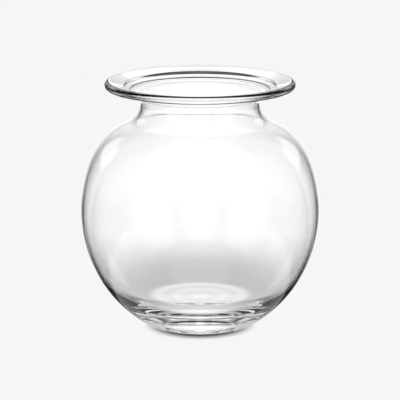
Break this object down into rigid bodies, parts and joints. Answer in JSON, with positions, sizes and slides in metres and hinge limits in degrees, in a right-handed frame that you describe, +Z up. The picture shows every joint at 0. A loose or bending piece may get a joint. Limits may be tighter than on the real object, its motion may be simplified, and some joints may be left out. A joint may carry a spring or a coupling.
{
  "type": "rose bowl vase",
  "caption": "Clear blown glass globe vase with a heavy base, a short waisted neck and a wide flared collar that carries a thick flat rim with a round edge.",
  "frame": {"origin": "centre of the foot, on the surface that the vase stands on", "axes": "+Z up along the axis of the vase; the vase is round, so X and Y are free"},
  "size_m": [0.2, 0.2, 0.207],
  "materials": {
    "clear_glass": "fire-polished, clear and colourless"
  },
  "bodies": {
    "root": {"bowl": "clear_glass", "rim_bead": "clear_glass"}
  },
  "joints": []
}
